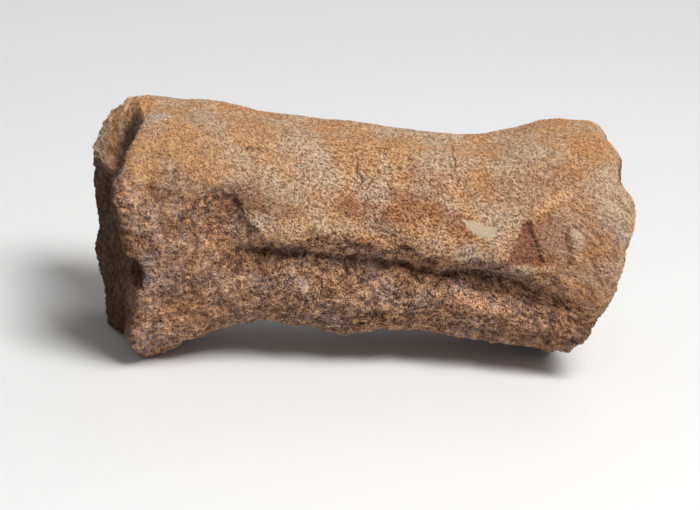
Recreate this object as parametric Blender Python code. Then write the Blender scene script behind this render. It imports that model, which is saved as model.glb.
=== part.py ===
"""Fossil dinosaur tail vertebra at life size: one long centrum with the worn stump of its arch.

The bone lies upside down, on the lower edges of its two articular faces, so its smooth
ventral side is on top. X runs along the bone, from the anterior face (-X) to the posterior
face (+X). The near side, with the deeper lateral groove, is -Y. Z is up and the bone rests
on z = 0. The worn neural canal is a trough along the underside, open downwards.

Sizes are in millimetres. MM turns them into Blender's metres when the mesh is made.
"""

import math

import bmesh
import bpy
from mathutils import Vector, noise

MM = 0.001

# Overall length, from rim to rim
LENGTH = 103.4
HALF = LENGTH / 2


class Spool:
    """A size that changes along the bone like a spool's outline: two end values and a waist."""

    def __init__(self, ends, waist, waist_x=0.0, flares=(2.2, 2.2)):
        self.ends = ends
        self.waist = waist
        self.waist_x = waist_x
        self.flares = flares

    def at(self, x):
        end = 0 if x < self.waist_x else 1
        reach = HALF + self.waist_x if end == 0 else HALF - self.waist_x
        away = min(1.0, abs(x - self.waist_x) / reach)
        return self.waist + (self.ends[end] - self.waist) * away ** self.flares[end]


# Lengthwise profiles of the section: the value at each end, the waist's value and place,
# and how late each end flares from it
VENTRAL_Z = Spool((49.4, 47.5), 44.3, 17.0, (0.95, 1.8))
RIDGE_Z = Spool((28.5, 19.6), 29.0, -8.0, (1.5, 1.8))
RIDGE_Y = Spool((21.6, 21.2), 17.0, 2.0, (2.6, 2.6))
GROOVE_DEPTH = Spool((-0.5, 0.9), 4.0, 8.0, (1.15, 2.8))
WALL_Y = Spool((20.2, 19.8), 15.6, -4.0, (2.4, 2.4))
EDGE_Y = Spool((15.8, 15.4), 13.2)
EDGE_RISE = Spool((8.6, 4.8), 2.5, 0.0, (1.7, 2.2))
FOOT_Y = Spool((7.5, 7.5), 9.4)
FOOT_Z = Spool((-3.6, -0.9), 9.2, -23.0, (1.45, 3.0))
CANAL_RISE = Spool((0.4, 0.4), 5.5, 0.0, (3.0, 3.0))
CANAL_Y = 3.3

# The ventral surface, on top: a shallow haemal groove between two low ridges, and flanks
# that follow a superellipse down to the lateral ridge
HAEMAL_DEPTH = 0.5
HAEMAL_Y = 5.5
FLANK_FULLNESS = 2.3
FLANK_ANGLES = (64.0, 46.0, 29.0, 13.0)

# The lateral ridge overhangs the groove by these drops below its edge
UNDER_RIDGE_DROP = 1.5
GROOVE_DROP = 3.2
CANAL_LIP = 1.2

# The far side of the real bone isn't quite like the near one
FAR_WIDTH = 0.98
FAR_GROOVE = 0.75

# Articular faces: a rounded rim round a dish
RIM_ROUND = 3.0
FACE_Z = 25.0
FACE_RADIUS = 22.0
DISH_DEPTH = (6.0, 5.0)
DISH_FULLNESS = 2.2
SHAPE_FADE = 4.0

# Where a rim is worn back, or stands out if below zero: the end, the direction from the
# middle of the face (0 near, 90 top, 180 far, -90 bottom), how far, and how wide in degrees
RIM_WEAR = (
    (0, 90.0, 2.8, 26.0),
    (0, 36.0, -1.0, 16.0),
    (0, 8.0, 1.2, 16.0),
    (0, -4.0, 3.0, 9.0),
    (0, -32.0, 4.6, 24.0),
    (0, -74.0, 6.6, 22.0),
    (0, -112.0, 2.2, 20.0),
    (0, 174.0, -0.6, 26.0),
    (1, 92.0, 4.6, 22.0),
    (1, 60.0, 2.6, 12.0),
    (1, 18.0, 1.4, 12.0),
    (1, -8.0, 3.0, 22.0),
    (1, -30.0, 0.8, 16.0),
    (1, -62.0, 8.5, 26.0),
    (1, -110.0, 4.0, 30.0),
)

# Swellings and dents: place, radius along the bone, radius across it, height, and how
# steep the edge is
LUMPS = (
    ("anterior ventral facet", (-44.0, 2.0, 49.0), 3.5, 7.0, 0.8, 1.0),
    ("ventral swelling", (-31.0, 3.0, 47.5), 9.0, 12.0, 0.9, 1.0),
    ("posterior ventral facet", (38.0, 2.0, 47.0), 12.5, 14.0, 2.1, 2.0),
    ("worn anterior shoulder", (-51.5, 6.0, 48.0), 5.0, 9.0, -2.0, 1.0),
    ("near anterior shoulder", (-49.0, -5.0, 48.0), 4.5, 6.5, -1.6, 1.0),
    ("notch in the anterior rim", (-47.0, -19.0, 23.5), 3.0, 3.5, -1.6, 1.5),
    ("near anterior fossa", (-30.5, -17.5, 34.0), 7.5, 6.0, -3.4, 1.8),
    ("hollow before the groove", (-24.0, -17.0, 27.0), 8.0, 4.0, -2.4, 1.0),
    ("far anterior fossa", (-27.0, 18.0, 33.0), 10.0, 6.5, -1.8, 1.0),
    ("stump knob", (-5.0, -9.5, 8.0), 9.0, 5.0, 2.3, 1.0),
    ("far stump knob", (10.0, 10.0, 8.0), 9.0, 5.0, 1.6, 1.0),
    ("near posterior corner", (44.0, -11.5, 1.5), 14.0, 7.5, -2.8, 1.0),
    ("low posterior rim", (46.0, -17.5, 12.5), 4.5, 4.5, -1.2, 1.0),
)

# Unevenness of the fossil surface: feature size, its height where the outer bone is whole, and
# its height on the walls below the ridges, where the outer bone is worn away
WAVES = (
    (13.0, 0.45, 0.45),
    (6.0, 0.22, 0.95),
)
WALL_FOOT = (5.0, 10.0)
WALL_TOP = (-3.0, 2.0)
WAVE_SEED = Vector((31.7, 4.2, 17.9))

# Mesh density
BODY_RINGS = 36
RIM_RINGS = 3
DISH_RINGS = 6
SPAN_STEPS = 3

# Brown sandstone-stained bone
BONE_COLOUR = (0.323, 0.191, 0.117, 1.0)
BONE_ROUGHNESS = 0.85


def catmull_rom(points, steps):
    """A closed centripetal Catmull-Rom curve through the points, with a few steps in each span."""
    count = len(points)
    curve = []
    for i in range(count):
        p0, p1, p2, p3 = (points[(i + k - 1) % count] for k in range(4))
        t0 = 0.0
        t1 = t0 + math.sqrt((p1 - p0).length)
        t2 = t1 + math.sqrt((p2 - p1).length)
        t3 = t2 + math.sqrt((p3 - p2).length)
        for k in range(steps):
            t = t1 + (t2 - t1) * k / steps
            a1 = p0 * ((t1 - t) / (t1 - t0)) + p1 * ((t - t0) / (t1 - t0))
            a2 = p1 * ((t2 - t) / (t2 - t1)) + p2 * ((t - t1) / (t2 - t1))
            a3 = p2 * ((t3 - t) / (t3 - t2)) + p3 * ((t - t2) / (t3 - t2))
            b1 = a1 * ((t2 - t) / (t2 - t0)) + a2 * ((t - t0) / (t2 - t0))
            b2 = a2 * ((t3 - t) / (t3 - t1)) + a3 * ((t - t1) / (t3 - t1))
            curve.append(b1 * ((t2 - t) / (t2 - t1)) + b2 * ((t - t1) / (t2 - t1)))
    return curve


def half_section(x, width, groove):
    """Points of one side of the section, from beside the haemal groove down to beside the canal roof."""
    top = VENTRAL_Z.at(x)
    ridge_z = RIDGE_Z.at(x)
    ridge_y = RIDGE_Y.at(x) * width
    depth = GROOVE_DEPTH.at(x) * groove
    foot_z = FOOT_Z.at(x)
    edge_z = foot_z + EDGE_RISE.at(x)
    wall_z = 0.5 * (ridge_z - GROOVE_DROP + edge_z)
    foot_y = FOOT_Y.at(x) * width
    canal_rise = CANAL_RISE.at(x)
    points = [(HAEMAL_Y, top)]
    for angle in FLANK_ANGLES:
        a = math.radians(angle)
        y = ridge_y * math.cos(a) ** (2 / FLANK_FULLNESS)
        z = ridge_z + (top - ridge_z) * math.sin(a) ** (2 / FLANK_FULLNESS)
        points.append((y, z))
    points.append((ridge_y, ridge_z))
    points.append((ridge_y - 0.4 * depth, ridge_z - UNDER_RIDGE_DROP))
    points.append((ridge_y - depth, ridge_z - GROOVE_DROP))
    points.append((WALL_Y.at(x) * width, wall_z))
    points.append((EDGE_Y.at(x) * width, edge_z))
    points.append((foot_y, foot_z))
    points.append((CANAL_Y + CANAL_LIP, foot_z))
    points.append((CANAL_Y, foot_z + 0.4 * canal_rise))
    points.append((0.6 * CANAL_Y, foot_z + 0.9 * canal_rise))
    return points


def section(x):
    """The closed outline across the bone at x."""
    near = half_section(x, 1.0, 1.0)
    far = half_section(x, FAR_WIDTH, FAR_GROOVE)
    outline = [Vector((x, 0.0, VENTRAL_Z.at(x) - HAEMAL_DEPTH))]
    outline += [Vector((x, -y, z)) for y, z in near]
    outline.append(Vector((x, 0.0, FOOT_Z.at(x) + CANAL_RISE.at(x))))
    outline += [Vector((x, y, z)) for y, z in reversed(far)]
    return catmull_rom(outline, SPAN_STEPS)


def rim_reach(point, end):
    """How far along X a rim reaches, in the direction of this point from the middle of the face."""
    angle = math.degrees(math.atan2(point.z - FACE_Z, -point.y))
    reach = HALF
    for worn_end, centre, depth, width in RIM_WEAR:
        if worn_end == end:
            off = (angle - centre + 180) % 360 - 180
            reach -= depth * math.exp(-((off / width) ** 2))
    return reach


def body_rings():
    """Rings between the two rims, closer together towards the ends, each bent to the rim's wear."""
    reach = HALF - RIM_ROUND
    rings = []
    for i in range(BODY_RINGS + 1):
        even = 2 * i / BODY_RINGS - 1
        x = reach * (0.55 * even - 0.45 * math.cos(math.pi * i / BODY_RINGS))
        end = 0 if x < 0 else 1
        rings.append([Vector((x * (rim_reach(p, end) - RIM_ROUND) / reach, p.y, p.z)) for p in section(x)])
    return rings


def face_ring(end, inward, setback, fade):
    """A ring of an articular face, set back from the rim and round where the rim's own shape has faded."""
    side = -1 if end == 0 else 1
    ring = []
    for p in section(side * (HALF - RIM_ROUND)):
        wear = HALF - rim_reach(p, end)
        x = side * (HALF - wear * fade - setback)
        spoke = Vector((0.0, p.y, p.z - FACE_Z))
        radius = inward * (FACE_RADIUS + (spoke.length - FACE_RADIUS) * fade)
        ring.append(Vector((x, 0.0, FACE_Z)) + spoke.normalized() * radius)
    return ring


def face_rings(end):
    """Rings from the rounded rim to the bottom of the dish."""
    rings = []
    radius = RIDGE_Y.ends[end]
    for k in range(1, RIM_RINGS + 1):
        a = math.pi / 2 * k / RIM_RINGS
        inward = 1 - RIM_ROUND * (1 - math.cos(a)) / radius
        rings.append(face_ring(end, inward, RIM_ROUND * (1 - math.sin(a)), 1.0))
    crest = 1 - RIM_ROUND / radius
    for k in range(1, DISH_RINGS):
        share = 1 - k / DISH_RINGS
        depth = DISH_DEPTH[end] * (1 - share**DISH_FULLNESS)
        rings.append(face_ring(end, crest * share, depth, share**SHAPE_FADE))
    return rings


def lofted(name, rings, first, last):
    """One closed mesh through the rings, with a fan to a single point at each end."""
    bm = bmesh.new()
    rows = [[bm.verts.new(p * MM) for p in points] for points in rings]
    count = len(rows[0])
    for a, b in zip(rows, rows[1:]):
        for j in range(count):
            k = (j + 1) % count
            bm.faces.new((a[j], a[k], b[k], b[j]))
    for pole, row in ((first, rows[0]), (last, rows[-1])):
        tip = bm.verts.new(pole * MM)
        for j in range(count):
            bm.faces.new((tip, row[j], row[(j + 1) % count]))
    bmesh.ops.recalc_face_normals(bm, faces=bm.faces)
    mesh = bpy.data.meshes.new(name)
    bm.to_mesh(mesh)
    bm.free()
    return mesh


def ease(low, high, value):
    """0 below low, 1 above high, and smooth between them."""
    t = min(1.0, max(0.0, (value - low) / (high - low)))
    return t * t * (3 - 2 * t)


def worn_share(point):
    """1 on the walls below the lateral ridges, and 0 above the ridges and at the feet."""
    above_ridge = point.z - RIDGE_Z.at(max(-HALF, min(HALF, point.x)))
    return ease(*WALL_FOOT, point.z) * (1 - ease(*WALL_TOP, above_ridge))


def surface_shift(point):
    """How far the surface stands out at this point, by the named lumps and the general unevenness."""
    shift = 0.0
    for _, place, along, across, height, edge in LUMPS:
        d = point - Vector(place)
        far = (d.x / along) ** 2 + (d.y**2 + d.z**2) / across**2
        shift += height * math.exp(-(far**edge))
    worn = worn_share(point)
    for size, whole_height, worn_height in WAVES:
        height = whole_height + (worn_height - whole_height) * worn
        shift += height * noise.noise(point / size + WAVE_SEED)
    return shift


def weather(mesh):
    """Moves the surface along its normals by its lumps and unevenness."""
    moved = [v.co + v.normal * surface_shift(v.co / MM) * MM for v in mesh.vertices]
    for v, co in zip(mesh.vertices, moved):
        v.co = co


def settle(mesh):
    """Flattens what would lie below the floor, and centres the bone over the origin."""
    xs = [v.co.x for v in mesh.vertices]
    ys = [v.co.y for v in mesh.vertices]
    middle = Vector((min(xs) + max(xs), min(ys) + max(ys), 0.0)) / 2
    for v in mesh.vertices:
        v.co -= middle
        v.co.z = max(v.co.z, 0.0)


def bone_material():
    material = bpy.data.materials.new("fossil_bone")
    material.use_nodes = True
    shader = material.node_tree.nodes["Principled BSDF"]
    shader.inputs["Base Color"].default_value = BONE_COLOUR
    shader.inputs["Roughness"].default_value = BONE_ROUGHNESS
    shader.inputs["Metallic"].default_value = 0.0
    return material


def make_vertebra():
    first = Vector((DISH_DEPTH[0] - HALF, 0.0, FACE_Z))
    last = Vector((HALF - DISH_DEPTH[1], 0.0, FACE_Z))
    rings = face_rings(0)[::-1] + body_rings() + face_rings(1)
    mesh = lofted("vertebra", rings, first, last)
    weather(mesh)
    settle(mesh)
    mesh.materials.append(bone_material())
    mesh.shade_smooth()
    return bpy.data.objects.new("vertebra", mesh)


def main():
    for old in list(bpy.data.objects):
        bpy.data.objects.remove(old)
    parts = bpy.data.collections.new("tail_vertebra")
    bpy.context.scene.collection.children.link(parts)
    parts.objects.link(make_vertebra())


main()
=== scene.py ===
import math

import bpy
import numpy as np
from mathutils import Matrix, Vector, noise
from mathutils.bvhtree import BVHTree


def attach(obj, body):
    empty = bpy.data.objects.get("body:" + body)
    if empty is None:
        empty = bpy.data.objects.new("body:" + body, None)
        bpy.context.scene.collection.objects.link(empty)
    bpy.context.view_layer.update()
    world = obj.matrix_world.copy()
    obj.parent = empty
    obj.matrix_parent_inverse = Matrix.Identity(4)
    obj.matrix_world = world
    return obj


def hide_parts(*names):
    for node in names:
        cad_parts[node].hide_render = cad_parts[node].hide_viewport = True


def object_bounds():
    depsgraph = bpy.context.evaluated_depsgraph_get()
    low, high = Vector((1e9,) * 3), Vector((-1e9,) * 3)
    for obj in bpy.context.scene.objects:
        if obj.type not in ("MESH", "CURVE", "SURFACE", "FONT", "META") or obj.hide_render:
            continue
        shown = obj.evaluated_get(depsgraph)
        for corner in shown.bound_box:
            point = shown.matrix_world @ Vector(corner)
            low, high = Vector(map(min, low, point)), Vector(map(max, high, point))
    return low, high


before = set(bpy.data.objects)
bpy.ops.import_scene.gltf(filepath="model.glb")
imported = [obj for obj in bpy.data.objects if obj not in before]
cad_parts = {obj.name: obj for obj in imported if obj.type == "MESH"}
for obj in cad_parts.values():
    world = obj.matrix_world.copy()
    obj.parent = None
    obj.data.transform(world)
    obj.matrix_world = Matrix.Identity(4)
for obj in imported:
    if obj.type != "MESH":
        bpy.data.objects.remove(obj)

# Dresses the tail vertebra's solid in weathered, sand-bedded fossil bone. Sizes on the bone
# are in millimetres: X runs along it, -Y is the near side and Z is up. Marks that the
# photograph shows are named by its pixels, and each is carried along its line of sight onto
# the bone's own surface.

MM = 0.001
CAD_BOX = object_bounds()
HALF_LENGTH = CAD_BOX[1].x / MM

# The photograph's camera, fitted to the bone's outline
IMAGE_WIDTH = 700
IMAGE_HEIGHT = 510
CAMERA_AZIMUTH = -13.0
CAMERA_ELEVATION = 24.0
CAMERA_ROLL = 7.3
CAMERA_DISTANCE = 0.44
FOCAL_PIXELS = 2180.0
CAMERA_TARGET = Vector((-0.0015, 0.0, 0.0195))
SENSOR_WIDTH = 36.0

# The skin's mesh: the voxel, halved once by subdivision
VOXEL = 0.4
SMOOTHING_ROUNDS = 4

# Where the smooth outer bone ends and rough bone begins, on the near side, and how soft the
# edge is there in millimetres
BREAK_LINE = (
    ((120, 162), 3.4), ((133, 174), 3.2), ((149, 182), 3.0), ((170, 174), 3.4),
    ((190, 183), 3.0), ((206, 185), 2.4), ((222, 189), 1.8), ((234, 196), 1.2),
    ((243, 208), 0.8), ((252, 224), 0.5), ((268, 238), 0.6), ((285, 245), 0.6), ((305, 242), 0.8),
    ((325, 240), 0.9), ((345, 243), 0.8), ((375, 247), 0.7), ((405, 248), 0.6),
    ((425, 255), 0.5), ((445, 260), 0.5), ((470, 259), 0.5), ((495, 262), 0.7),
    ((515, 268), 1.0), ((541, 273), 1.2), ((557, 281), 1.3), ((572, 295), 1.5),
    ((584, 308), 1.5), ((594, 320), 1.5),
)
# The middle of the two end faces, across the bone and up
FACE_MIDDLE = (0.0, 24.0)
# The thin dark line of the groove under the ridge
GROOVE_LINE = (
    (248, 250), (270, 252), (300, 253), (330, 256), (362, 259), (392, 263), (426, 269),
    (457, 272), (484, 274), (514, 277), (536, 284),
)
GROOVE_WIDTH = 0.7
GROOVE_DEPTH = 0.8
# The edge between the stump's wall and the underside
UNDER_LINE = ((369, 315), (400, 317), (430, 319), (457, 326), (480, 332), (510, 335), (550, 341))

# Cracks: the line, half width and depth
CRACKS = (
    (((357, 155), (358, 163), (357, 170), (361, 175), (363, 182)), 0.17, 0.6),
    (((363, 182), (359, 187)), 0.13, 0.4),
    (((449, 138), (453, 147), (452, 154), (456, 160), (455, 170), (459, 178), (458, 186)), 0.14, 0.3),
    (((245, 150), (249, 147), (256, 147), (265, 149)), 0.15, 0.4),
    (((246, 149), (256, 149), (266, 153)), 0.13, 0.3),
    (((325, 151), (333, 153), (341, 151), (352, 152)), 0.12, 0.15),
    (((176, 168), (173, 174), (179, 180)), 0.13, 0.25),
    (((429, 192), (436, 197), (441, 196), (452, 203)), 0.12, 0.18),
)

# Dents and swellings beside the solid's own: the line they follow, radius, height, and how
# steep the edge is
DENTS = (
    (((212, 192), (226, 198), (236, 212)), 2.6, -0.4, 1.5),
    (((134, 262), (138, 280)), 1.8, -0.7, 2.0),
    (((141, 100), (148, 100)), 2.4, 0.6, 1.0),
    (((164, 102), (176, 104)), 2.4, -0.5, 1.0),
    (((102, 148), (99, 168)), 3.0, 0.8, 1.0),
    (((130, 334), (136, 344)), 2.4, 0.8, 1.0),
    (((584, 336), (594, 324)), 4.0, -0.4, 1.0),
    (((506, 134), (518, 131)), 2.6, -0.8, 1.0),
    (((542, 123), (556, 123)), 3.0, 0.6, 1.0),
    (((176, 336), (188, 331)), 2.6, 1.1, 1.0),
    (((200, 330), (216, 324)), 3.0, 0.5, 1.0),
    (((166, 200), (176, 208)), 3.0, -0.5, 1.0),
    (((134, 188), (158, 186)), 1.2, -0.5, 1.0),
    (((122, 196), (130, 208), (142, 214)), 2.2, 0.4, 1.0),
    (((150, 205), (146, 222)), 2.4, 0.4, 1.0),
    (((157, 236), (150, 262)), 3.0, 0.5, 1.0),
    (((255, 226), (280, 234), (300, 234)), 2.6, 0.5, 1.0),
    (((400, 240), (440, 250), (490, 252)), 2.0, 0.4, 1.0),
    (((312, 238), (340, 242)), 1.8, -0.5, 1.0),
    (((378, 230), (402, 244)), 1.8, -0.5, 1.0),
    (((480, 286), (536, 300)), 3.2, -0.5, 1.0),
    (((541, 206), (552, 202), (566, 194)), 1.2, 0.35, 1.0),
    (((573, 226), (575, 262)), 1.0, 0.3, 1.5),
    (((564, 286), (576, 296)), 1.6, 0.5, 1.5),
    (((542, 268), (548, 268)), 1.0, 0.5, 1.5),
    (((615, 150), (619, 172), (620, 184)), 2.2, -0.6, 1.5),
    (((280, 296), (330, 300)), 4.0, 0.4, 1.0),
)

# The crumbled upper corner of the left end: the line through it, radius and height of its lumps
CRUMBLED = (((105, 144), (112, 127), (122, 113), (131, 106)), 4.0, 0.7)
# Beside it the rim is worn down into the dish of the end face: the line through it, radius and
# how far the worn slope stands out of the dish
WORN_RIM = (((132, 114), (127, 124), (121, 136), (117, 146), (114, 156)), 3.4, 1.5)

# Flat red breaks with straight edges: the corners, height, how wide the edge is, and how red
RED_BREAKS = (
    (((505, 268), (524, 224), (530, 220), (546, 266)), -0.9, 0.4, 1.0),
    (((530, 226), (548, 212), (566, 224), (572, 264), (546, 266)), -0.4, 0.9, 0.7),
)
# The flake that is left of a pale crust: its corners, height, and how wide its edge is
PALE_FLAKE = (
    ((462, 220), (475, 222), (496, 228), (496, 234), (491, 239), (477, 236), (468, 230)), 0.12, 0.3
)

# Stains, painted shade and painted light: the kind, the line they follow, radius and strength. Some
# dark entries are painted shade in dents, creases and under the ridge, and some light and cream
# entries are painted light; the rest are the bone's own colour
STAINS_AND_PAINTED_LIGHT = (
    ("grey", ((127, 133), (140, 126), (152, 117), (164, 117)), 1.6, 0.9),
    ("grey", ((138, 159), (146, 154)), 0.8, 0.7),
    # Painted light: the crumbled upper corner of the left end is lightened where it faces away from
    # the key light
    ("light", ((108, 140), (114, 124), (126, 112)), 5.0, 1.0),
    ("cream", ((108, 140), (114, 124), (126, 112)), 5.0, 1.0),
    ("light", ((142, 302), (150, 330), (176, 330)), 5.5, 1.0),
    ("light", ((150, 262), (180, 280), (220, 296)), 7.0, 0.4),
    ("light", ((470, 292), (560, 322)), 3.5, 0.35),
    ("light", ((285, 286), (350, 290), (415, 292)), 3.5, 0.22),
    ("light", ((540, 208), (554, 201), (568, 194)), 1.1, 0.35),
    ("cream", ((540, 208), (554, 201), (568, 194)), 1.3, 1.0),
    ("orange", ((140, 100), (150, 104)), 2.0, 0.6),
    ("orange", ((168, 120), (180, 116)), 2.0, 0.5),
    ("orange", ((210, 107), (250, 114)), 2.6, 0.4),
    ("red", ((152, 158), (166, 156)), 1.8, 0.25),
    ("red", ((160, 172), (182, 174)), 1.8, 0.35),
    ("orange", ((118, 166), (120, 188), (126, 206)), 1.9, 0.4),
    # Partly the near rim's own pale tone, partly a painted highlight along its lit edge
    ("light", ((118, 166), (120, 188), (126, 206)), 1.9, 0.8),
    ("cream", ((130, 198), (142, 206), (150, 214)), 1.8, 0.6),
    ("dark", ((136, 187), (157, 187)), 0.8, 0.6),
    ("grey", ((145, 256), (149, 276)), 1.4, 0.9),
    # Painted shadow inside the notch of the left rim
    ("dark", ((136, 264), (138, 284)), 1.6, 0.9),
    ("cream", ((141, 306), (146, 330), (150, 350)), 2.0, 0.6),
    ("dark", ((160, 296), (170, 314)), 2.2, 0.35),
    ("orange", ((170, 222), (182, 228)), 1.8, 0.5),
    ("orange", ((216, 236), (230, 246)), 1.8, 0.5),
    ("orange", ((186, 197), (202, 198)), 1.6, 0.5),
    ("orange", ((180, 306), (196, 308)), 2.0, 0.5),
    # Painted shade in the fossa behind the left rim
    ("dark", ((218, 194), (232, 200), (240, 216)), 1.6, 0.6),
    ("dark", ((240, 246), (262, 246)), 1.8, 0.55),
    ("dark", ((232, 264), (268, 268)), 2.2, 0.4),
    ("red", ((242, 190), (262, 204), (286, 212)), 2.4, 0.6),
    ("cream", ((258, 226), (282, 232), (338, 222)), 2.2, 0.7),
    ("grey", ((260, 226), (282, 231), (296, 232)), 2.2, 0.45),
    ("cream", ((290, 160), (330, 180)), 4.0, 0.3),
    ("red", ((345, 206), (380, 212), (414, 218)), 2.2, 0.6),
    ("grey", ((360, 192), (386, 198)), 1.6, 0.3),
    ("red", ((392, 196), (432, 208), (468, 232)), 2.0, 0.7),
    ("olive", ((241, 214), (250, 226)), 1.2, 0.6),
    ("cream", ((412, 236), (440, 248), (494, 250)), 1.6, 0.2),
    ("grey", ((414, 242), (440, 249), (492, 251)), 1.8, 0.5),
    ("dark", ((414, 244), (440, 251), (492, 252)), 1.8, 0.35),
    # Painted shadow under the ridge's overhang, above the groove
    ("dark", ((310, 232), (320, 240), (336, 244)), 1.5, 0.55),
    ("dark", ((348, 240), (374, 248)), 1.5, 0.6),
    ("dark", ((376, 226), (390, 238), (404, 248)), 1.5, 0.55),
    ("dark", ((404, 234), (420, 246)), 1.2, 0.4),
    # Painted shade along the groove under the ridge
    ("dark", ((430, 262), (504, 266)), 1.4, 0.5),
    ("cream", ((258, 282), (286, 282)), 1.4, 0.5),
    ("grey", ((300, 280), (308, 298)), 1.2, 0.7),
    ("grey", ((346, 300), (352, 312)), 1.2, 0.5),
    ("cream", ((318, 296), (370, 300), (410, 300)), 1.6, 0.45),
    ("red", ((412, 172), (438, 186)), 2.4, 0.4),
    ("cream", ((456, 140), (484, 150)), 3.0, 0.5),
    ("cream", ((484, 210), (504, 212)), 1.6, 0.6),
    ("grey", ((530, 130), (556, 136)), 2.0, 0.5),
    ("orange", ((562, 142), (586, 148)), 2.6, 0.4),
    ("cream", ((584, 200), (610, 212)), 2.2, 0.35),
    ("orange", ((496, 190), (530, 186), (562, 180)), 5.0, 0.25),
    ("dark", ((490, 192), (530, 190), (570, 186)), 5.0, 0.26),
    ("red", ((567, 230), (571, 262)), 0.8, 0.9),
    ("dark", ((529, 230), (538, 246)), 1.1, 0.4),
    ("dark", ((518, 252), (532, 262)), 1.8, 0.3),
    ("dark", ((538, 250), (552, 264)), 2.4, 0.25),
    ("cream", ((577, 232), (579, 262)), 0.7, 0.8),
    ("red", ((536, 250), (562, 256)), 2.4, 0.5),
    ("red", ((588, 228), (602, 250), (596, 290)), 5.0, 0.35),
    ("dark", ((580, 270), (600, 300), (590, 326)), 4.0, 0.25),
    ("grey", ((543, 268), (548, 268)), 0.8, 0.8),
    ("light", ((462, 290), (486, 300)), 2.2, 0.5),
    ("cream", ((462, 290), (486, 300)), 2.2, 0.6),
    ("orange", ((502, 308), (512, 320)), 1.5, 0.5),
    ("grey", ((566, 288), (576, 294)), 1.0, 0.8),
    ("grey", ((602, 228), (621, 236)), 1.8, 0.5),
    ("dark", ((600, 232), (618, 240)), 1.6, 0.35),
    ("dark", ((486, 280), (522, 288), (552, 306)), 3.0, 0.4),
    # Painted shade along the crease where the underside begins
    ("dark", ((530, 334), (576, 342)), 2.0, 0.5),
    ("dark", ((376, 318), (436, 324)), 1.4, 0.4),
)
STAIN_AND_PAINTED_LIGHT_NAMES = ("light", "grey", "orange", "cream", "dark", "olive", "red")

# The slant of the bone's fibres, and how much longer than wide their ridges are: over most of
# the bone, and where they run as long streaks
FIBRE = Vector((0.78, -0.30, -0.55)).normalized()
FIBRE_STRETCH = 1.8
STREAK_STRETCH = 5.0
STREAKS = (((492, 284), (530, 292), (560, 308)), 5.0)
STREAKED_END = (31.0, 40.0)


def camera_axes():
    """The camera's right, up and back directions."""
    azimuth = math.radians(CAMERA_AZIMUTH)
    elevation = math.radians(CAMERA_ELEVATION)
    roll = math.radians(CAMERA_ROLL)
    level = math.cos(elevation)
    back = Vector((math.sin(azimuth) * level, -math.cos(azimuth) * level, math.sin(elevation)))
    flat_right = Vector((math.cos(azimuth), math.sin(azimuth), 0.0))
    flat_up = back.cross(flat_right)
    right = math.cos(roll) * flat_right + math.sin(roll) * flat_up
    up = math.cos(roll) * flat_up - math.sin(roll) * flat_right
    return right, up, back


def make_camera():
    right, up, back = camera_axes()
    data = bpy.data.cameras.new("photo_camera")
    data.sensor_width = SENSOR_WIDTH
    data.lens = FOCAL_PIXELS * SENSOR_WIDTH / IMAGE_WIDTH
    data.clip_start = 0.01
    camera = bpy.data.objects.new("photo_camera", data)
    placing = Matrix((right, up, back)).transposed().to_4x4()
    placing.translation = CAMERA_TARGET + back * CAMERA_DISTANCE
    camera.matrix_world = placing
    bpy.context.scene.collection.objects.link(camera)
    bpy.context.scene.camera = camera


class Sight:
    """Lines of sight of the photograph, and where they meet the bone."""

    def __init__(self, mesh):
        self.tree = BVHTree.FromPolygons(
            [v.co for v in mesh.vertices], [tuple(p.vertices) for p in mesh.polygons]
        )
        self.right, self.up, self.back = camera_axes()
        self.eye = CAMERA_TARGET + self.back * CAMERA_DISTANCE

    def place(self, pixel):
        """The point of the bone, in millimetres, that the photograph shows at this pixel."""
        across = (pixel[0] - IMAGE_WIDTH / 2) * self.right
        down = (pixel[1] - IMAGE_HEIGHT / 2) * self.up
        way = (across - down - FOCAL_PIXELS * self.back).normalized()
        hit = self.tree.ray_cast(self.eye, way)[0]
        if hit is None:
            raise ValueError(f"the photograph's pixel {pixel} doesn't show the bone")
        return np.array(hit) / MM

    def line(self, pixels):
        return np.array([self.place(pixel) for pixel in pixels])


class Surface:
    """The skin's points and outward normals, in millimetres."""

    def __init__(self, mesh):
        self.mesh = mesh
        self.read()

    def read(self):
        flat = np.empty(len(self.mesh.vertices) * 3, np.float32)
        self.mesh.vertices.foreach_get("co", flat)
        self.points = flat.reshape(-1, 3).astype(float) / MM
        self.mesh.vertex_normals.foreach_get("vector", flat)
        self.normals = flat.reshape(-1, 3).astype(float)

    def push(self, height):
        """Moves the points out along their normals, and none of them below the floor."""
        points = self.points + self.normals * height[:, None]
        points[:, 2] = np.maximum(points[:, 2], 0.0)
        self.mesh.vertices.foreach_set("co", (points * MM).astype(np.float32).ravel())
        self.mesh.update()
        self.read()

    def keep(self, name, values):
        """Stores a value of each point for the material."""
        attribute = self.mesh.attributes.new(name, "FLOAT", "POINT")
        attribute.data.foreach_set("value", values.astype(np.float32))


def ease(low, high, value):
    """0 below low, 1 above high, and smooth between them."""
    t = np.clip((value - low) / (high - low), 0.0, 1.0)
    return t * t * (3 - 2 * t)


def hills(points, size, octaves=1, seed=0.0):
    """Smooth noise of about -1 to 1 whose features are this many millimetres across."""
    spots = (points / size + seed).tolist()
    return np.fromiter((noise.fractal(p, 1.0, 2.0, octaves) for p in spots), float, len(spots))


def even_hills(points, size, octaves=1, seed=0.0):
    """Noise that is as often high as low, kept within -1 and 1."""
    height = hills(points, size, octaves, seed)
    return np.tanh(1.2 * (height - height.mean()) / height.std())


def pits(points, size, seed=0.0):
    """Small round pits, one to each cell of this size and 1 at their middle."""
    spots = (points / size + seed).tolist()
    nearest = np.fromiter((noise.voronoi(p)[0][0] for p in spots), float, len(spots))
    return ease(0.16, 0.06, nearest)


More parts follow.
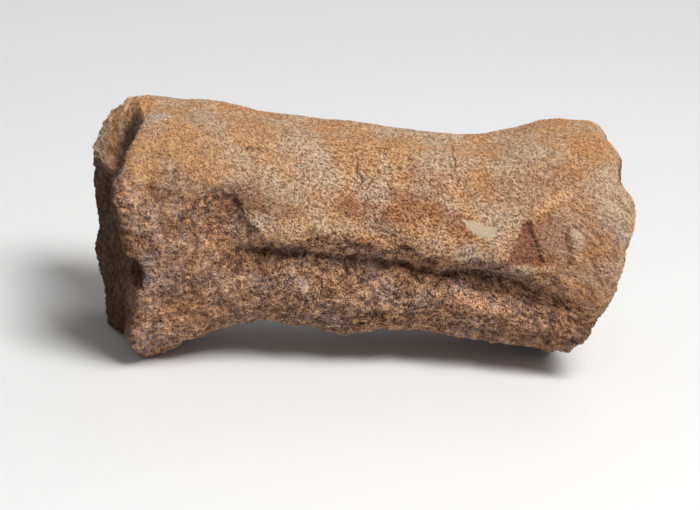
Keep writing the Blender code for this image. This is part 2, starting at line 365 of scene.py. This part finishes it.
def swirled(points, size, reach):
    """Points shifted by up to about this reach, so that a pattern read there bends and swirls."""
    spots = (points / size).tolist()
    return points + reach * np.array([noise.noise_vector(p)[:] for p in spots])


def along_fibres(points, stretch):
    """Points in a space where the bone's fibres are shortened, so that noise there is drawn out."""
    way = np.array(FIBRE)
    share = points @ way
    return points - np.outer(share, way) * (1 - 1 / stretch)


def line_distance(points, line):
    """How far each point is from the nearest stretch of an open line."""
    nearest = np.full(len(points), np.inf)
    for start, end in zip(line, line[1:]):
        way = end - start
        share = np.clip((points - start) @ way / (way @ way), 0.0, 1.0)
        gap = points - start - share[:, None] * way
        nearest = np.minimum(nearest, np.sqrt((gap**2).sum(1)))
    return nearest


def patch_depth(points, corners):
    """How far inside a patch's outline each point lies, seen square on, and negative outside."""
    middle = corners.mean(0)
    axes = np.linalg.svd(corners - middle)[2]
    flat = (points - middle) @ axes[:2].T
    outline = (corners - middle) @ axes[:2].T
    inside = np.zeros(len(points), bool)
    nearest = np.full(len(points), np.inf)
    for start, end in zip(outline, np.roll(outline, -1, axis=0)):
        way = end - start
        share = np.clip((flat - start) @ way / (way @ way), 0.0, 1.0)
        gap = flat - start - share[:, None] * way
        nearest = np.minimum(nearest, np.sqrt((gap**2).sum(1)))
        crosses = (start[1] > flat[:, 1]) != (end[1] > flat[:, 1])
        with np.errstate(divide="ignore", invalid="ignore"):
            at = start[0] + (flat[:, 1] - start[1]) * way[0] / way[1]
        inside ^= crosses & (flat[:, 0] < at)
    close = np.abs((points - middle) @ axes[2]) < 6.0
    return np.where(inside & close, nearest, -nearest)


def fine_mesh(node):
    """A smooth copy of a CAD node's mesh, with its points evenly spaced."""
    copy = bpy.data.objects.new("fine", node.data.copy())
    bpy.context.scene.collection.objects.link(copy)
    even = copy.modifiers.new("even", "REMESH")
    even.mode = "VOXEL"
    even.voxel_size = VOXEL * MM
    smooth = copy.modifiers.new("smooth", "SMOOTH")
    smooth.iterations = SMOOTHING_ROUNDS
    copy.modifiers.new("fine", "SUBSURF").levels = 1
    evaluated = copy.evaluated_get(bpy.context.evaluated_depsgraph_get())
    mesh = bpy.data.meshes.new_from_object(evaluated)
    bpy.data.objects.remove(copy)
    mesh.materials.clear()
    return mesh


def roughness_of(points, normals, sight):
    """How far below the edge of the smooth outer bone each point is, how rough it is, and how
    much it belongs to an end face."""
    line = sight.line([pixel for pixel, softness in BREAK_LINE])
    softness = np.array([softness for pixel, softness in BREAK_LINE])
    order = np.argsort(line[:, 0])
    line = line[order]
    near_edge = np.interp(points[:, 0], line[:, 0], line[:, 2])
    far_edge = np.interp(points[:, 0] + 9.0, line[:, 0], line[:, 2]) - 2.0
    edge = np.where(points[:, 1] < 0, near_edge, far_edge)
    soft = np.interp(points[:, 0], line[:, 0], softness[order])
    ragged = (0.4 + 0.7 * soft) * hills(points, 4.0, 4, 7.3) * 1.6
    below = edge - points[:, 2] + ragged
    end = ease(HALF_LENGTH - 13.0, HALF_LENGTH - 9.0, np.abs(points[:, 0]))
    away = points[:, 1:] - np.array(FACE_MIDDLE)
    outward = (normals[:, 1:] * away).sum(1) / np.maximum(np.linalg.norm(away, axis=1), 1.0)
    dished = ease(0.05, -0.15, outward)
    left_face = np.maximum(ease(0.55, 0.85, -normals[:, 0]), dished * ease(0.2, 0.5, -normals[:, 0]))
    right_face = np.maximum(ease(0.85, 0.97, normals[:, 0]), dished * ease(0.2, 0.5, normals[:, 0]))
    face = np.maximum(left_face, right_face) * end
    return below, np.maximum(ease(-soft, soft, below), face), face


def wear_of(points):
    """How worn the smooth outer bone is: least at the ends and on top, most above the ridges."""
    along = 0.72 + 0.28 * np.exp(-(((points[:, 0] - 3.0) / 26.0) ** 2))
    down = 0.88 + 0.12 * ease(47.0, 36.0, points[:, 2])
    return along * down


def streaks_of(points, sight):
    """Where the fibres run as long streaks."""
    line, radius = STREAKS
    patch = np.exp(-((line_distance(points, sight.line(line)) / radius) ** 2))
    low = ease(44.0, 38.0, points[:, 2])
    return np.maximum(patch, 0.85 * ease(*STREAKED_END, points[:, 0]) * low)


def shape_skin(surface, sight):
    """Carves the marks, the broken edge and the grain of the bone, coarse features first."""
    points = surface.points.copy()
    below, rough, face = roughness_of(points, surface.normals, sight)
    smooth = 1 - rough
    wear = wear_of(points)
    streaks = streaks_of(points, sight)

    height = rough * (0.3 * hills(points, 6.5, 2, 3.1) + 0.45 * hills(points, 2.6, 3, 9.7))
    height += smooth * (0.22 * hills(points, 8.0, 2, 5.5) + 0.12 * hills(points, 3.0, 2, 1.9))
    line, radius, lumps = CRUMBLED
    crumbled = line_distance(points, sight.line(line)) / radius + 0.5 * hills(points, 3.0, 3, 16.2)
    crumbled = np.exp(-(np.maximum(crumbled, 0.0) ** 4))
    height += crumbled * lumps * hills(points, 2.6, 3, 7.7)
    line, radius, rise = WORN_RIM
    far = line_distance(points, sight.line(line)) / radius + 0.3 * hills(points, 2.5, 3, 21.0)
    worn = np.exp(-(np.maximum(far, 0.0) ** 2))
    height += rise * worn * ease(0.15, 0.7, -surface.normals[:, 0])
    crumbled = np.maximum(crumbled, ease(0.2, 0.8, worn))
    step = ease(-0.3, 0.6, below) * np.exp(-np.maximum(below, 0.0) / 4.0)
    height -= (0.3 + 0.3 * hills(points, 7.0, 1, 4.4)) * step * (1 - face)
    for pixels, radius, rise, edge in DENTS:
        far = line_distance(points, sight.line(pixels)) / radius
        height += rise * np.exp(-(far ** (2 * edge)))
    groove = line_distance(points + 0.5 * hills(points, 4.0, 2, 6.1)[:, None], sight.line(GROOVE_LINE))
    height -= GROOVE_DEPTH * np.exp(-((groove / GROOVE_WIDTH) ** 2))
    under = line_distance(points, sight.line(UNDER_LINE))
    height -= 0.5 * np.exp(-((under / 0.9) ** 2))
    red = np.zeros(len(points))
    for corners, rise, edge, redness in RED_BREAKS:
        ragged = 0.4 * hills(points, 1.3, 3, 18.4)
        broken = ease(-edge, edge, patch_depth(points, sight.line(corners)) + ragged)
        height += rise * broken
        red = np.maximum(red, redness * broken)
    corners, rise, edge = PALE_FLAKE
    pale_depth = patch_depth(points, sight.line(corners))
    height += rise * ease(-edge, edge, pale_depth)
    surface.push(height)

    bent = swirled(points, 6.0, 1.6)
    worms = even_hills(along_fibres(bent, FIBRE_STRETCH), 0.4, 2, 2.2)
    clumps = even_hills(bent, 0.95, 2, 8.8)
    strands = even_hills(along_fibres(bent, STREAK_STRETCH), 0.55, 2, 5.1)
    patches = even_hills(bent, 2.6, 3, 1.3)
    ridges = smooth * worms + rough * (0.35 * worms + 0.55 * clumps + 0.5 * patches)
    ridges += streaks * (1.2 * strands - ridges) * 0.7
    fine = ridges * (smooth * (0.05 + 0.08 * wear) + rough * 0.21 + streaks * 0.08)
    holes = pits(along_fibres(points, 2.2), 2.4, 3.7)
    fine -= 0.15 * holes
    seam = np.exp(-((hills(bent, 3.6, 3, 4.9) / 0.04) ** 2))
    seam *= ease(0.0, 0.3, hills(points, 5.0, 1, 6.6)) * (0.25 * smooth + rough)
    fine -= 0.3 * seam
    crack = np.zeros(len(points))
    wavering = swirled(points, 0.7, 0.15)
    broken = 0.45 + 0.55 * ease(-0.5, 0.1, hills(points, 1.6, 2, 15.1))
    for pixels, width, depth in CRACKS:
        far = line_distance(wavering, sight.line(pixels))
        line = broken * np.exp(-((far / width) ** 2))
        crack = np.maximum(crack, line * min(1.0, depth / 0.3))
        fine -= depth * line
    pale = ease(-0.15, 0.15, pale_depth + 0.15 * ridges)
    surface.push(fine * (1 - 0.85 * pale))

    surface.keep("rough", rough * (1 - 0.85 * crumbled))
    # The end faces' darkening: partly their own duller tone, partly painted shade, stronger on the
    # left end
    surface.keep("face", face * (1 - crumbled) * np.where(points[:, 0] < 0, 0.8, 0.45))
    surface.keep("wear", wear)
    surface.keep("ridge", 0.5 + 0.3 * ridges)
    surface.keep("hole", np.maximum.reduce((0.5 * holes, crack, 0.6 * seam)))
    surface.keep("groove", np.exp(-((groove / GROOVE_WIDTH) ** 2)))
    surface.keep("pale", pale)
    ragged = hills(points, 2.0, 4, 12.5)
    stains_and_painted_light = {name: stain_and_painted_light(points, sight, name, ragged) for name in STAIN_AND_PAINTED_LIGHT_NAMES}
    stains_and_painted_light["red"] = np.maximum(stains_and_painted_light["red"], red)
    # Painted shade: rough bone that faces down gets the dark and grey tints
    painted_underside_shade = ease(-0.25, -0.8, surface.normals[:, 2]) * rough
    stains_and_painted_light["dark"] = np.maximum(stains_and_painted_light["dark"], 0.55 * painted_underside_shade)
    stains_and_painted_light["grey"] = np.maximum(stains_and_painted_light["grey"], 0.4 * painted_underside_shade)
    for name, amount in stains_and_painted_light.items():
        surface.keep(name, amount)


def stain_and_painted_light(points, sight, wanted, ragged):
    """How strongly one kind of stain, painted shade or painted light shows at each point, with ragged
    edges.
    """
    amount = np.zeros(len(points))
    for name, pixels, radius, strength in STAINS_AND_PAINTED_LIGHT:
        if name == wanted:
            far = line_distance(points, sight.line(pixels)) / radius
            amount = np.maximum(amount, strength * ease(1.4, 0.4, far + 0.55 * ragged))
    return amount


def linear(red, green, blue):
    """A colour for a shader from its 0 to 255 screen values."""
    shares = [value / 255 for value in (red, green, blue)]
    return (*(s / 12.92 if s <= 0.04045 else ((s + 0.055) / 1.055) ** 2.4 for s in shares), 1.0)


def in_use(sockets, name):
    """The socket of this name that the node's present kind of data uses."""
    return next(s for s in sockets if s.name == name and s.enabled)


class Shader:
    """A material whose nodes are made by plain calls. Sizes of patterns are in millimetres."""

    def __init__(self, name):
        self.material = bpy.data.materials.new(name)
        self.material.use_nodes = True
        self.tree = self.material.node_tree
        self.principled = self.tree.nodes["Principled BSDF"]
        place = self.tree.nodes.new("ShaderNodeTexCoord")
        self.coordinates = self.vector("SCALE", place.outputs["Object"], scale=1 / MM)

    def join(self, value, socket):
        if isinstance(value, bpy.types.NodeSocket):
            self.tree.links.new(value, socket)
        else:
            socket.default_value = value

    def vector(self, operation, first, second=None, scale=1.0):
        node = self.tree.nodes.new("ShaderNodeVectorMath")
        node.operation = operation
        self.join(first, node.inputs[0])
        if second is not None:
            self.join(second, node.inputs[1])
        if operation == "SCALE":
            self.join(scale, node.inputs["Scale"])
        return node.outputs["Value" if operation == "DOT_PRODUCT" else "Vector"]

    def maths(self, operation, first, second=0.0):
        node = self.tree.nodes.new("ShaderNodeMath")
        node.operation = operation
        self.join(first, node.inputs[0])
        self.join(second, node.inputs[1])
        return node.outputs[0]

    def noise(self, size, detail=2.0, seed=0.0, where=None, distortion=0.0):
        node = self.tree.nodes.new("ShaderNodeTexNoise")
        node.noise_dimensions = "4D"
        self.join(where or self.coordinates, node.inputs["Vector"])
        node.inputs["W"].default_value = seed
        node.inputs["Scale"].default_value = 1 / size
        node.inputs["Detail"].default_value = detail
        node.inputs["Distortion"].default_value = distortion
        return node.outputs[0]

    def band(self, value, low, high):
        """0 at low, 1 at high, and smooth between them. Low may be the larger."""
        node = self.tree.nodes.new("ShaderNodeMapRange")
        node.interpolation_type = "SMOOTHSTEP"
        self.join(value, node.inputs["Value"])
        node.inputs["From Min"].default_value = low
        node.inputs["From Max"].default_value = high
        return node.outputs[0]

    def mix(self, share, first, second):
        node = self.tree.nodes.new("ShaderNodeMix")
        node.data_type = "RGBA"
        for name, value in (("Factor", share), ("A", first), ("B", second)):
            self.join(value, in_use(node.inputs, name))
        return in_use(node.outputs, "Result")

    def tinted(self, share, colour, tint):
        """The colour, and where the share is 1 the colour times the tint."""
        return self.vector("MULTIPLY", colour, self.mix(share, (1.0, 1.0, 1.0, 1.0), (*tint, 1.0)))

    def mark(self, name):
        node = self.tree.nodes.new("ShaderNodeAttribute")
        node.attribute_name = name
        return node.outputs["Fac"]

    def fibres(self):
        """Coordinates in which the bone's fibres are shortened."""
        share = self.vector("DOT_PRODUCT", self.coordinates, FIBRE)
        shorter = self.vector("SCALE", FIBRE * (1 - 1 / FIBRE_STRETCH), scale=share)
        return self.vector("SUBTRACT", self.coordinates, shorter)


# Colours of the bone, as screen values under the studio light
TAN = linear(211, 160, 112)
CREAM = linear(209, 177, 145)
RUST = linear(172, 120, 90)
BROWN = linear(168, 123, 93)
MAUVE = linear(156, 123, 106)
OCHRE = linear(180, 133, 94)
DEEP = linear(66, 42, 30)
# The end faces' brown: partly their own duller tone, partly painted shade of the dished faces
FACE_BROWN_AND_SHADE = linear(86, 58, 42)
PALE = linear(224, 198, 168)
CREST_TINT = (1.58, 1.68, 1.82)
ROUGH_CREST_TINT = (1.9, 2.16, 2.26)
HIGH_TINT = (1.42, 1.44, 1.44)
LOW_TINT = (0.58, 0.50, 0.50)
GAP_TINT = (0.38, 0.23, 0.17)
STAIN_AND_PAINTED_LIGHT_TINTS = {
    "light": (1.45, 1.42, 1.36),
    "grey": (1.05, 1.25, 1.6),
    "orange": (1.10, 0.92, 0.68),
    "cream": (1.12, 1.20, 1.32),
    "dark": (0.50, 0.41, 0.42),
    "olive": (0.55, 0.54, 0.42),
    "red": (0.62, 0.44, 0.40),
}


def bone_material():
    shader = Shader("fossil_bone")
    broad = shader.noise(9.0, 3.0, 1.0)
    middle = shader.noise(1.8, 4.0, 2.0)
    fibres = shader.fibres()
    lump = shader.noise(1.1, 3.0, 5.0, fibres)
    streak = shader.noise(0.21, 2.0, 3.0, fibres)
    grit = shader.noise(0.2, 2.0, 4.0)
    wear = shader.mark("wear")
    rough = shader.mark("rough")

    fine = shader.maths("MULTIPLY", shader.maths("SUBTRACT", streak, 0.5), 3.8)
    ridge = shader.maths("ADD", shader.mark("ridge"), fine)
    crest = shader.band(ridge, 0.48, 1.0)
    gap = shader.band(ridge, 0.5, 0.0)

    smooth = shader.mix(shader.band(broad, 0.4, 0.6), TAN, CREAM)
    smooth = shader.mix(shader.maths("MULTIPLY", shader.band(middle, 0.5, 0.68), 0.4), smooth, RUST)
    smooth = shader.tinted(shader.maths("MULTIPLY", gap, wear), smooth, GAP_TINT)
    smooth = shader.tinted(shader.maths("MULTIPLY", crest, wear), smooth, CREST_TINT)

    stone = shader.mix(shader.band(broad, 0.4, 0.6), BROWN, MAUVE)
    stone = shader.mix(shader.maths("MULTIPLY", shader.band(middle, 0.46, 0.62), 0.7), stone, OCHRE)
    stone = shader.tinted(shader.band(lump, 0.5, 0.32), stone, LOW_TINT)
    stone = shader.tinted(shader.band(lump, 0.5, 0.66), stone, HIGH_TINT)
    stone = shader.mix(shader.maths("MULTIPLY", gap, wear), stone, DEEP)
    stone = shader.tinted(shader.maths("MULTIPLY", crest, wear), stone, ROUGH_CREST_TINT)

    colour = shader.mix(rough, smooth, stone)
    # End faces get a duller brown, partly their own tone and partly painted shade of the dished faces
    end_face_tone_and_shade = shader.mix(gap, FACE_BROWN_AND_SHADE, DEEP)
    colour = shader.mix(shader.mark("face"), colour, end_face_tone_and_shade)
    for name, tint in STAIN_AND_PAINTED_LIGHT_TINTS.items():
        colour = shader.tinted(shader.mark(name), colour, tint)
    colour = shader.mix(shader.mark("pale"), colour, PALE)
    colour = shader.mix(shader.mark("hole"), colour, DEEP)
    # Painted shade: the groove under the ridge is darkened towards the deep brown
    colour = shader.mix(shader.maths("MULTIPLY", shader.mark("groove"), 0.5), colour, DEEP)
    shader.join(colour, shader.principled.inputs["Base Color"])
    shader.principled.inputs["Roughness"].default_value = 0.85
    shader.principled.inputs["Specular IOR Level"].default_value = 0.3

    grain = shader.maths("ADD", streak, shader.maths("MULTIPLY", grit, 0.6))
    bump = shader.tree.nodes.new("ShaderNodeBump")
    bump.inputs["Strength"].default_value = 1.0
    bump.inputs["Distance"].default_value = 0.6 * MM
    shader.join(grain, bump.inputs["Height"])
    shader.join(bump.outputs["Normal"], shader.principled.inputs["Normal"])
    return shader.material


def make_skin():
    mesh = fine_mesh(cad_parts["vertebra"])
    sight = Sight(mesh)
    surface = Surface(mesh)
    shape_skin(surface, sight)
    mesh.shade_smooth()
    mesh.materials.append(bone_material())
    skin = bpy.data.objects.new("vertebra_skin", mesh)
    bpy.context.scene.collection.objects.link(skin)
    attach(skin, "root")
    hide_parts("vertebra")


def make_floor():
    mesh = bpy.data.meshes.new("floor")
    reach = 3.0
    corners = [(-reach, -reach, 0), (reach, -reach, 0), (reach, reach, 0), (-reach, reach, 0)]
    mesh.from_pydata(corners, [], [(0, 1, 2, 3)])
    material = bpy.data.materials.new("floor")
    material.use_nodes = True
    shader = material.node_tree.nodes["Principled BSDF"]
    shader.inputs["Base Color"].default_value = (0.9, 0.9, 0.9, 1.0)
    shader.inputs["Roughness"].default_value = 0.9
    mesh.materials.append(material)
    floor = bpy.data.objects.new("floor", mesh)
    bpy.context.scene.collection.objects.link(floor)


def make_light(name, azimuth, elevation, distance, size, energy):
    """A square soft light that looks at the bone. Azimuth 0 is in front of it and 90 to its right."""
    a = math.radians(azimuth)
    e = math.radians(elevation)
    way = Vector((math.sin(a) * math.cos(e), -math.cos(a) * math.cos(e), math.sin(e)))
    data = bpy.data.lights.new(name, "AREA")
    data.size = size
    data.energy = energy
    light = bpy.data.objects.new(name, data)
    light.location = way * distance
    light.rotation_mode = "QUATERNION"
    light.rotation_quaternion = way.to_track_quat("Z", "Y")
    bpy.context.scene.collection.objects.link(light)


def make_studio():
    make_floor()
    make_light("key", 30.0, 62.0, 0.8, 0.30, 5.7)
    make_light("back", 150.0, 45.0, 1.0, 0.6, 0.8)
    world = bpy.data.worlds.new("studio")
    world.use_nodes = True
    background = world.node_tree.nodes["Background"]
    background.inputs["Color"].default_value = (1.0, 1.0, 1.0, 1.0)
    background.inputs["Strength"].default_value = 0.22
    bpy.context.scene.world = world
    bpy.context.scene.view_settings.view_transform = "Standard"


make_camera()
make_skin()
make_studio()
